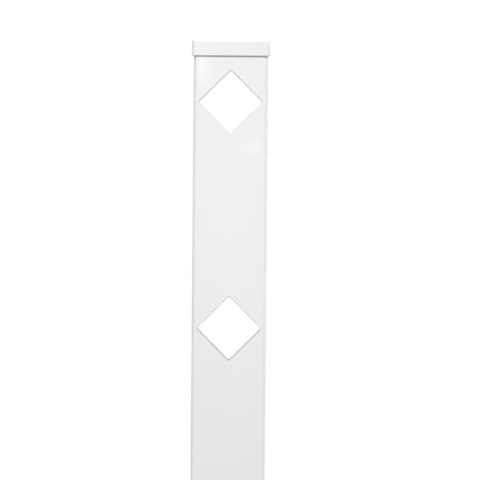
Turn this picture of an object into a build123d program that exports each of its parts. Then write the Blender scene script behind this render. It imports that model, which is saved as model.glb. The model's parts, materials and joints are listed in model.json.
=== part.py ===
from build123d import *
import os

# Hollow vinyl line post for a two-rail diamond fence, with its moulded flat cap, in millimetres.
# The origin is the middle of the post's lower end, +Z runs up the post, and the rails pass through along Y.

# Post: an extruded square tube, sawn to length
post_width = 127.0
post_length = 1524.0
post_wall = 3.8
post_corner_radius = 6.4

# Rails: square tubes set on edge, so that the hole routed for each one is a diamond
rail_width = 76.2
rail_clearance = 0.8
rail_turn = 45.0
rail_spacing = 387.5
top_rail_drop = 102.5
router_bit_radius = 3.2
rim_bevel = 0.8

# Cap: a drafted shell that goes over the post's upper end
cap_height = 26.0
cap_wall = 3.0
cap_clearance = 0.75
cap_corner_radius = 6.0
cap_draft_angle = 1.0
cap_top_radius = 1.6
skirt_edge_radius = 0.8
mouth_bevel = 0.8
sharpest_inner_radius = 0.5

# Crush ribs: half-round ribs up the inside of the skirt, which grip the post
rib_radius = 1.2
rib_gap = 0.05
rib_lead_in = 5.0
ribs_per_side = 2
rib_spacing = 64.0

# Sizes that follow from those above
hollow_width = post_width - 2 * post_wall
hollow_corner_radius = max(post_corner_radius - post_wall, sharpest_inner_radius)
hole_width = rail_width + 2 * rail_clearance
top_rail_height = post_length - top_rail_drop
rail_places = [(0, top_rail_height), (0, top_rail_height - rail_spacing)]
rim_width = hole_width + 2 * rim_bevel
rim_corner_radius = router_bit_radius + rim_bevel
cap_mouth_width = post_width + 2 * cap_clearance
cap_width = cap_mouth_width + 2 * cap_wall
cap_mouth_corner_radius = max(cap_corner_radius - cap_wall, sharpest_inner_radius)
cap_mouth_height = post_length + cap_wall - cap_height
rib_centre = post_width / 2 + rib_gap + rib_radius
rib_length = post_length - cap_mouth_height - rib_lead_in

os.makedirs("parts", exist_ok=True)

# The post: the tube's section is extruded to length, and the rail holes are routed through its front and back walls.
with BuildPart() as post:
    with BuildSketch(Plane.XY):
        RectangleRounded(post_width, post_width, post_corner_radius)
        RectangleRounded(hollow_width, hollow_width, hollow_corner_radius, mode=Mode.SUBTRACT)
    extrude(amount=post_length)
    with BuildSketch(Plane.front):
        with Locations(*rail_places):
            RectangleRounded(hole_width, hole_width, router_bit_radius, rotation=rail_turn)
    extrude(amount=post_width, both=True, mode=Mode.SUBTRACT)
    for wall in (Plane.front, Plane.back):
        with BuildSketch(wall.offset(post_width / 2)):
            with Locations(*rail_places):
                RectangleRounded(rim_width, rim_width, rim_corner_radius, rotation=rail_turn)
        extrude(amount=-rim_bevel, taper=45, mode=Mode.SUBTRACT)

post.part.label = "post"
export_step(post.part, "parts/post.step")

# The cap: its top plate lies on the post's sawn end, and its drafted skirt hangs outside the post's walls.
with BuildPart() as cap:
    with BuildSketch(Plane.XY.offset(cap_mouth_height)):
        RectangleRounded(cap_width, cap_width, cap_corner_radius)
    extrude(amount=cap_height, taper=cap_draft_angle)
    fillet(cap.faces().sort_by(Axis.Z)[-1].edges(), cap_top_radius)
    fillet(cap.faces().sort_by(Axis.Z)[0].edges(), skirt_edge_radius)
    with BuildSketch(Plane.XY.offset(cap_mouth_height)):
        RectangleRounded(cap_mouth_width, cap_mouth_width, cap_mouth_corner_radius)
    extrude(amount=cap_height - cap_wall, taper=cap_draft_angle, mode=Mode.SUBTRACT)
    chamfer(cap.faces().sort_by(Axis.Z)[0].inner_wires()[0].edges(), mouth_bevel)
    with BuildSketch(Plane.XY.offset(cap_mouth_height + rib_lead_in)):
        with PolarLocations(rib_centre, 4):
            with GridLocations(0, rib_spacing, 1, ribs_per_side):
                Circle(rib_radius)
    extrude(amount=rib_length)

cap.part.label = "cap"
export_step(cap.part, "parts/cap.step")
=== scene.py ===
import json
import math
import bpy
from mathutils import Matrix, Vector


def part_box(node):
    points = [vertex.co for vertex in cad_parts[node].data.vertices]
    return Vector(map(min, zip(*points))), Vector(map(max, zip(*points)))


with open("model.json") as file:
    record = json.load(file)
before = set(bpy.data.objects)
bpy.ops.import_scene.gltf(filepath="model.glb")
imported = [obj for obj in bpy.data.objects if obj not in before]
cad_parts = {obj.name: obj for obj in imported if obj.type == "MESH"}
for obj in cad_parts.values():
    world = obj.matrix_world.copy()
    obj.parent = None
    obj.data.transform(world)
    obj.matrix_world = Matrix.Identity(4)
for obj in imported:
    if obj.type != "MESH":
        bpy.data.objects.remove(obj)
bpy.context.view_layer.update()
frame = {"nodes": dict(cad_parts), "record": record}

# The post is a square tube of white rigid vinyl, extruded in one length and sawn off square at both ends.
# The die leaves faint lines along it, and tone and gloss drift a little along the length as it is drawn.
post = frame["nodes"]["post"]
post_low, post_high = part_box("post")
post_white = (0.865, 0.865, 0.862, 1.0)
post_dull_white = (0.845, 0.846, 0.844, 1.0)
post_cloud_size = 0.11
post_cloud_stretch = (1.0, 1.0, 0.22)
post_sharp_gloss = 0.20
post_dull_gloss = 0.25
die_line_width = 0.0025
die_line_stretch = (1.0, 1.0, 0.012)
die_line_depth = 0.000012
vinyl_ior = 1.53


def feed(tree, socket, value):
    """Gives a socket its value: a link from another socket, or a plain setting."""
    if isinstance(value, bpy.types.NodeSocket):
        tree.links.new(value, socket)
    else:
        socket.default_value = value


def calc(tree, operation, first, second=0.0):
    """The output of a Math node on sockets or plain numbers."""
    node = tree.nodes.new("ShaderNodeMath")
    node.operation = operation
    feed(tree, node.inputs[0], first)
    feed(tree, node.inputs[1], second)
    return node.outputs[0]


def ramp(tree, value, low, high, start=0.0, end=1.0):
    """The output of a Map Range node that eases from start to end as value goes from low to high."""
    node = tree.nodes.new("ShaderNodeMapRange")
    node.interpolation_type = "SMOOTHSTEP"
    for socket, setting in zip(node.inputs, (value, low, high, start, end)):
        feed(tree, socket, setting)
    return node.outputs["Result"]


def blend_colours(tree, mask, first, second):
    """The output of a Mix node: the first colour where mask is 0, and the second where it is 1."""
    node = tree.nodes.new("ShaderNodeMix")
    node.data_type = "RGBA"
    feed(tree, node.inputs["Factor"], mask)
    for label, colour in (("A", first), ("B", second)):
        feed(tree, next(s for s in node.inputs if s.name == label and s.type == "RGBA"), colour)
    return next(s for s in node.outputs if s.type == "RGBA")


def drift(tree, place, stretch, size, detail):
    """The output of a Noise texture with blotches about size across, drawn out where stretch is under 1."""
    drawn = tree.nodes.new("ShaderNodeVectorMath")
    drawn.operation = "MULTIPLY"
    feed(tree, drawn.inputs[0], place)
    feed(tree, drawn.inputs[1], stretch)
    node = tree.nodes.new("ShaderNodeTexNoise")
    feed(tree, node.inputs["Vector"], drawn.outputs[0])
    feed(tree, node.inputs["Scale"], calc(tree, "DIVIDE", 1.0, size))
    feed(tree, node.inputs["Detail"], detail)
    return node.outputs["Fac"]


# The finish that extruded and moulded vinyl share.
# Tone and gloss go through soft clouds, each at its own spread, over a fine grain in relief.
noise_low, noise_high = 0.2, 0.8
gloss_spread = 1.6
cloud_detail = 1.0
grain_detail = 3.0
vinyl_finish = bpy.data.node_groups.new("vinyl_finish", "ShaderNodeTree")
for label, kind in (
    ("Place", "NodeSocketVector"),
    ("White", "NodeSocketColor"),
    ("Dull White", "NodeSocketColor"),
    ("Cloud Size", "NodeSocketFloat"),
    ("Cloud Stretch", "NodeSocketVector"),
    ("Sharp Gloss", "NodeSocketFloat"),
    ("Dull Gloss", "NodeSocketFloat"),
    ("Grain Size", "NodeSocketFloat"),
    ("Grain Stretch", "NodeSocketVector"),
):
    vinyl_finish.interface.new_socket(label, in_out="INPUT", socket_type=kind)
for label, kind in (
    ("Colour", "NodeSocketColor"),
    ("Roughness", "NodeSocketFloat"),
    ("Height", "NodeSocketFloat"),
):
    vinyl_finish.interface.new_socket(label, in_out="OUTPUT", socket_type=kind)
given = vinyl_finish.nodes.new("NodeGroupInput").outputs
made = vinyl_finish.nodes.new("NodeGroupOutput").inputs
cloud = drift(vinyl_finish, given["Place"], given["Cloud Stretch"], given["Cloud Size"], cloud_detail)
dullness = ramp(vinyl_finish, cloud, noise_low, noise_high)
clouded_white = blend_colours(vinyl_finish, dullness, given["White"], given["Dull White"])
feed(vinyl_finish, made["Colour"], clouded_white)
patch_size = calc(vinyl_finish, "MULTIPLY", given["Cloud Size"], gloss_spread)
patch = drift(vinyl_finish, given["Place"], given["Cloud Stretch"], patch_size, cloud_detail)
gloss = ramp(vinyl_finish, patch, noise_low, noise_high, given["Sharp Gloss"], given["Dull Gloss"])
feed(vinyl_finish, made["Roughness"], gloss)
grain = drift(vinyl_finish, given["Place"], given["Grain Stretch"], given["Grain Size"], grain_detail)
feed(vinyl_finish, made["Height"], grain)


def vinyl_material(name, settings):
    """A new material with the vinyl finish in it; gives the material, its place socket and the finish."""
    material = bpy.data.materials.new(name)
    material.use_nodes = True
    tree = material.node_tree
    place = tree.nodes.new("ShaderNodeTexCoord").outputs["Object"]
    finish = tree.nodes.new("ShaderNodeGroup")
    finish.node_tree = vinyl_finish
    feed(tree, finish.inputs["Place"], place)
    for label, value in settings.items():
        finish.inputs[label].default_value = value
    tree.nodes["Principled BSDF"].inputs["IOR"].default_value = vinyl_ior
    return material, place, finish.outputs


def raise_relief(tree, height, shader):
    """Bumps a shader's surface by a height given in metres."""
    bump = tree.nodes.new("ShaderNodeBump")
    bump.inputs["Distance"].default_value = 1.0
    feed(tree, bump.inputs["Height"], height)
    feed(tree, shader.inputs["Normal"], bump.outputs["Normal"])


post_vinyl, post_place, post_finish = vinyl_material(
    "post_vinyl",
    {
        "White": post_white,
        "Dull White": post_dull_white,
        "Cloud Size": post_cloud_size,
        "Cloud Stretch": post_cloud_stretch,
        "Sharp Gloss": post_sharp_gloss,
        "Dull Gloss": post_dull_gloss,
        "Grain Size": die_line_width,
        "Grain Stretch": die_line_stretch,
    },
)
post_tree = post_vinyl.node_tree
post_shader = post_tree.nodes["Principled BSDF"]
post_axes = post_tree.nodes.new("ShaderNodeSeparateXYZ")
feed(post_tree, post_axes.inputs[0], post_place)
across = post_axes.outputs["X"]
through = post_axes.outputs["Y"]
upward = post_axes.outputs["Z"]

# The rail holes are square holes set on edge, routed through the front and back walls in line.
# The bit leaves matt cut faces with fine ripples square to the edge, and a small bevel takes off the burr.
# The cut faces are painted greyer than the vinyl, as painted shade that darkens the hole rims.
# Where the scraped bevel faces up it is painted grey, as painted shade that matches the bevels facing down.
rail_hole_width = 0.0778
rim_bevel = 0.0008
rim_margin = 0.0001
cut_shade_grey = (0.70, 0.70, 0.695, 1.0)
bevel_shade_grey = (0.64, 0.64, 0.635, 1.0)
cut_gloss = 0.62
ripple_pitch = 0.0011
ripple_depth = 0.00003
rail_mounts = [m["pos_m"] for m in frame["record"]["mounts"] if m["kind"] == "slide"]
rail_heights = sorted({z for x, y, z in rail_mounts})
rail_middle = sum(rail_heights) / len(rail_heights)
rail_half_spacing = (rail_heights[-1] - rail_heights[0]) / 2
rim_half_diagonal = (rail_hole_width / 2 + rim_bevel + rim_margin) * math.sqrt(2)
from_middle = calc(post_tree, "ABSOLUTE", calc(post_tree, "SUBTRACT", upward, rail_middle))
from_rail = calc(post_tree, "SUBTRACT", from_middle, rail_half_spacing)
out_across = calc(post_tree, "ABSOLUTE", across)
out_through = calc(post_tree, "ABSOLUTE", through)
diamond = calc(post_tree, "ADD", out_across, calc(post_tree, "ABSOLUTE", from_rail))
routed = calc(post_tree, "LESS_THAN", diamond, rim_half_diagonal)
bevel_depth = post_high.y - rim_bevel - rim_margin
scraped = calc(post_tree, "MULTIPLY", routed, calc(post_tree, "GREATER_THAN", out_through, bevel_depth))
ripple_rate = 2 * math.pi / ripple_pitch / math.sqrt(2)
rising = calc(post_tree, "MULTIPLY", calc(post_tree, "ADD", across, from_rail), ripple_rate)
falling = calc(post_tree, "MULTIPLY", calc(post_tree, "SUBTRACT", across, from_rail), ripple_rate)
ripples = calc(post_tree, "ADD", calc(post_tree, "SINE", rising), calc(post_tree, "SINE", falling))
routed_height = calc(post_tree, "MULTIPLY", calc(post_tree, "MULTIPLY", ripples, ripple_depth), routed)

# The hollow inside the tube keeps the duller skin that the die's core leaves.
# The sawn ends are matt, with the blade's shallow marks straight across them.
tube_wall = 0.0038
hollow_margin = 0.0003
inner_white = (0.84, 0.84, 0.835, 1.0)
inner_gloss = 0.55
sawn_gloss = 0.68
sawn_facing = 0.95
saw_mark_pitch = 0.0016
saw_mark_depth = 0.00004
hollow_half = post_high.x - tube_wall + hollow_margin
inside = calc(post_tree, "LESS_THAN", calc(post_tree, "MAXIMUM", out_across, out_through), hollow_half)
facing = post_tree.nodes.new("ShaderNodeNewGeometry")
facing_axes = post_tree.nodes.new("ShaderNodeSeparateXYZ")
feed(post_tree, facing_axes.inputs[0], facing.outputs["Normal"])
facing_ends = calc(post_tree, "ABSOLUTE", facing_axes.outputs["Z"])
sawn = calc(post_tree, "GREATER_THAN", facing_ends, sawn_facing)
saw_rate = 2 * math.pi / saw_mark_pitch
saw_marks = calc(post_tree, "SINE", calc(post_tree, "MULTIPLY", through, saw_rate))
sawn_height = calc(post_tree, "MULTIPLY", calc(post_tree, "MULTIPLY", saw_marks, saw_mark_depth), sawn)

# The routed and sawn faces alike take the painted shade grey.
cut = calc(post_tree, "MAXIMUM", routed, sawn)
skin_colour = blend_colours(post_tree, inside, post_finish["Colour"], inner_white)
cut_shade_colour = blend_colours(post_tree, cut, skin_colour, cut_shade_grey)
faces_up = calc(post_tree, "GREATER_THAN", facing_axes.outputs["Z"], 0.0)
# The bevel facing up takes the painted shade grey; the bevel facing down keeps the vinyl white.
shaded_bevel_colour = blend_colours(post_tree, faces_up, post_white, bevel_shade_grey)
post_colour = blend_colours(post_tree, scraped, cut_shade_colour, shaded_bevel_colour)
feed(post_tree, post_shader.inputs["Base Color"], post_colour)
roughness = post_finish["Roughness"]
for mask, least in ((inside, inner_gloss), (routed, cut_gloss), (sawn, sawn_gloss)):
    roughness = calc(post_tree, "MAXIMUM", roughness, calc(post_tree, "MULTIPLY", mask, least))
feed(post_tree, post_shader.inputs["Roughness"], roughness)
die_lines = calc(post_tree, "MULTIPLY", post_finish["Height"], die_line_depth)
cut_height = calc(post_tree, "ADD", routed_height, sawn_height)
raise_relief(post_tree, calc(post_tree, "ADD", die_lines, cut_height), post_shader)
post.data.materials.clear()
post.data.materials.append(post_vinyl)

# The cap is a shallow shell moulded in the same vinyl, pushed over the post's upper end and glued.
# The mould gives it a fine satin grain, and the skirt sinks a little opposite the crush ribs inside it.
cap = frame["nodes"]["cap"]
cap_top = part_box("cap")[1].z
cap_white = (0.858, 0.858, 0.855, 1.0)
cap_dull_white = (0.842, 0.842, 0.839, 1.0)
cap_cloud_size = 0.09
cap_sharp_gloss = 0.29
cap_dull_gloss = 0.34
mould_grain = 0.0007
mould_grain_depth = 0.000006
unstretched = (1.0, 1.0, 1.0)
rib_offset = 0.032
sink_width = 0.0045
sink_depth = 0.00006
sink_fade = 0.002
top_edge_depth = 0.004
sink_end = cap_top - top_edge_depth
cap_vinyl, cap_place, cap_finish = vinyl_material(
    "cap_vinyl",
    {
        "White": cap_white,
        "Dull White": cap_dull_white,
        "Cloud Size": cap_cloud_size,
        "Cloud Stretch": unstretched,
        "Sharp Gloss": cap_sharp_gloss,
        "Dull Gloss": cap_dull_gloss,
        "Grain Size": mould_grain,
        "Grain Stretch": unstretched,
    },
)
cap_tree = cap_vinyl.node_tree
cap_shader = cap_tree.nodes["Principled BSDF"]
cap_axes = cap_tree.nodes.new("ShaderNodeSeparateXYZ")
feed(cap_tree, cap_axes.inputs[0], cap_place)
beside_ribs = []
for axis in ("X", "Y"):
    off_middle = calc(cap_tree, "ABSOLUTE", cap_axes.outputs[axis])
    beside_ribs.append(calc(cap_tree, "ABSOLUTE", calc(cap_tree, "SUBTRACT", off_middle, rib_offset)))
from_rib = calc(cap_tree, "MINIMUM", beside_ribs[0], beside_ribs[1])
sink = ramp(cap_tree, from_rib, 0.0, sink_width, 1.0, 0.0)
on_skirt = ramp(cap_tree, cap_axes.outputs["Z"], sink_end, sink_end + sink_fade, 1.0, 0.0)
sink_height = calc(cap_tree, "MULTIPLY", calc(cap_tree, "MULTIPLY", sink, on_skirt), -sink_depth)
grain_height = calc(cap_tree, "MULTIPLY", cap_finish["Height"], mould_grain_depth)
raise_relief(cap_tree, calc(cap_tree, "ADD", grain_height, sink_height), cap_shader)
feed(cap_tree, cap_shader.inputs["Base Color"], cap_finish["Colour"])
feed(cap_tree, cap_shader.inputs["Roughness"], cap_finish["Roughness"])
cap.data.materials.clear()
cap.data.materials.append(cap_vinyl)

# The floor is a plain pale sheet that the post stands on.
# Seen directly or in a reflection it is lifted to white, more so far from the post, where the lamps fade.
# The post's shadow stays on it.
floor_half = 4.0
floor_colour = (0.35, 0.35, 0.35, 1.0)
floor_lift_near = 0.66
floor_lift_far = 0.92
floor_near = 0.8
floor_far = 3.2
floor_corners = [(x * floor_half, y * floor_half, 0.0) for x, y in ((-1, -1), (1, -1), (1, 1), (-1, 1))]
floor_mesh = bpy.data.meshes.new("floor")
floor_mesh.from_pydata(floor_corners, [], [(0, 1, 2, 3)])
floor = bpy.data.objects.new("floor", floor_mesh)
bpy.context.scene.collection.objects.link(floor)
floor_finish = bpy.data.materials.new("floor_white")
floor_finish.use_nodes = True
floor_tree = floor_finish.node_tree
floor_tree.nodes.clear()
floor_sheet = floor_tree.nodes.new("ShaderNodeBsdfDiffuse")
floor_sheet.inputs["Color"].default_value = floor_colour
floor_glow = floor_tree.nodes.new("ShaderNodeEmission")
floor_sum = floor_tree.nodes.new("ShaderNodeAddShader")
floor_out = floor_tree.nodes.new("ShaderNodeOutputMaterial")


def seen_rays(tree):
    """A value of 1 on rays that make a picture: from the camera, off gloss or through glass."""
    path = tree.nodes.new("ShaderNodeLightPath").outputs
    direct = calc(tree, "MAXIMUM", path["Is Camera Ray"], path["Is Glossy Ray"])
    return calc(tree, "MAXIMUM", direct, path["Is Transmission Ray"])


floor_place = floor_tree.nodes.new("ShaderNodeTexCoord").outputs["Object"]
from_post = floor_tree.nodes.new("ShaderNodeVectorMath")
from_post.operation = "LENGTH"
feed(floor_tree, from_post.inputs[0], floor_place)
distance = from_post.outputs["Value"]
floor_lift = ramp(floor_tree, distance, floor_near, floor_far, floor_lift_near, floor_lift_far)
floor_strength = calc(floor_tree, "MULTIPLY", seen_rays(floor_tree), floor_lift)
feed(floor_tree, floor_glow.inputs["Strength"], floor_strength)
feed(floor_tree, floor_sum.inputs[0], floor_sheet.outputs[0])
feed(floor_tree, floor_sum.inputs[1], floor_glow.outputs[0])
feed(floor_tree, floor_out.inputs["Surface"], floor_sum.outputs[0])
floor_mesh.materials.append(floor_finish)

# The studio is a white room.
# It is white to look at, and gives a soft even fill on the post from every side.
room_colour = (1.0, 1.0, 1.0, 1.0)
room_fill = 0.22
room_white = 1.0
world = bpy.data.worlds.new("white_room")
bpy.context.scene.world = world
world.use_nodes = True
room_tree = world.node_tree
room_tree.nodes.clear()
room_light = room_tree.nodes.new("ShaderNodeBackground")
room_light.inputs["Color"].default_value = room_colour
room_out = room_tree.nodes.new("ShaderNodeOutputWorld")
room_strength = ramp(room_tree, seen_rays(room_tree), 0.0, 1.0, room_fill, room_white)
feed(room_tree, room_light.inputs["Strength"], room_strength)
feed(room_tree, room_out.inputs["Surface"], room_light.outputs[0])


# The lamps are soft boxes: a high key in front, which throws the cap's thin shadow line,
# a small panel that evens out the front face, a box behind each side for the other faces,
# and two small ones that give nothing but soft glints on the glossy front face.
def softbox(name, place, target, size, power, tall=1.0, lights=True, glints=True):
    """A soft lamp at place, facing target, tall times as high as wide, for light, for glints or for both."""
    lamp = bpy.data.lights.new(name, "AREA")
    lamp.shape = "RECTANGLE"
    lamp.size = size
    lamp.size_y = size * tall
    lamp.energy = power
    box = bpy.data.objects.new(name, lamp)
    box.location = place
    box.rotation_euler = (Vector(target) - Vector(place)).to_track_quat("-Z", "Y").to_euler()
    box.visible_camera = False
    box.visible_diffuse = lights
    box.visible_glossy = glints
    bpy.context.scene.collection.objects.link(box)


softbox("key_box", place=(0.0, -5.9, 6.6), target=(0.0, 0.0, 1.2), size=1.5, power=557)
softbox("front_panel", place=(0.0, -0.56, 1.2), target=(0.0, 0.0, 1.2), size=0.3, power=0.2, glints=False)
softbox("left_box", place=(-1.9, 1.9, 1.7), target=(0.0, 0.0, 1.0), size=1.2, power=42, glints=False)
softbox("right_box", place=(2.2, 1.1, 1.6), target=(0.0, 0.0, 1.0), size=1.2, power=36, glints=False)
glint_reach = Vector((0.0, -0.12, 0.0))
upper_spot = Vector((-0.05, post_low.y, 1.482))
lower_spot = Vector((0.041, post_low.y, 1.345))
softbox("upper_glint", upper_spot + glint_reach, upper_spot, size=0.014, power=0.0085, tall=4, lights=False)
softbox("lower_glint", lower_spot + glint_reach, lower_spot, size=0.01, power=0.003, tall=1.8, lights=False)

# The camera stands far back with a long lens, square on to the front face, a little above the middle
# of the two rail holes, so that both are open to see through.
# It is turned a little about its own axis, so that the post leans as it does in the picture.
picture_pixels = 480
metres_per_pixel = 0.001711
camera_distance = 36.0
camera_rise = 0.1
rail_middle_pixel = (229.5, 215.4)
picture_turn = math.radians(0.48)
aim_across = (picture_pixels / 2 - rail_middle_pixel[0]) * metres_per_pixel
aim_height = rail_middle - (picture_pixels / 2 - rail_middle_pixel[1]) * metres_per_pixel
aim = Vector((aim_across, post_low.y, aim_height))
spot = Vector((aim_across, post_low.y - camera_distance, rail_middle + camera_rise))
lens = bpy.data.cameras.new("camera")
lens.lens = lens.sensor_width * camera_distance / metres_per_pixel / picture_pixels
camera = bpy.data.objects.new("camera", lens)
facing_post = (aim - spot).to_track_quat("-Z", "Y").to_matrix().to_4x4()
camera.matrix_world = Matrix.Translation(spot) @ facing_post @ Matrix.Rotation(picture_turn, 4, "Z")
bpy.context.scene.collection.objects.link(camera)
bpy.context.scene.camera = camera

bpy.context.scene.view_settings.view_transform = "Standard"
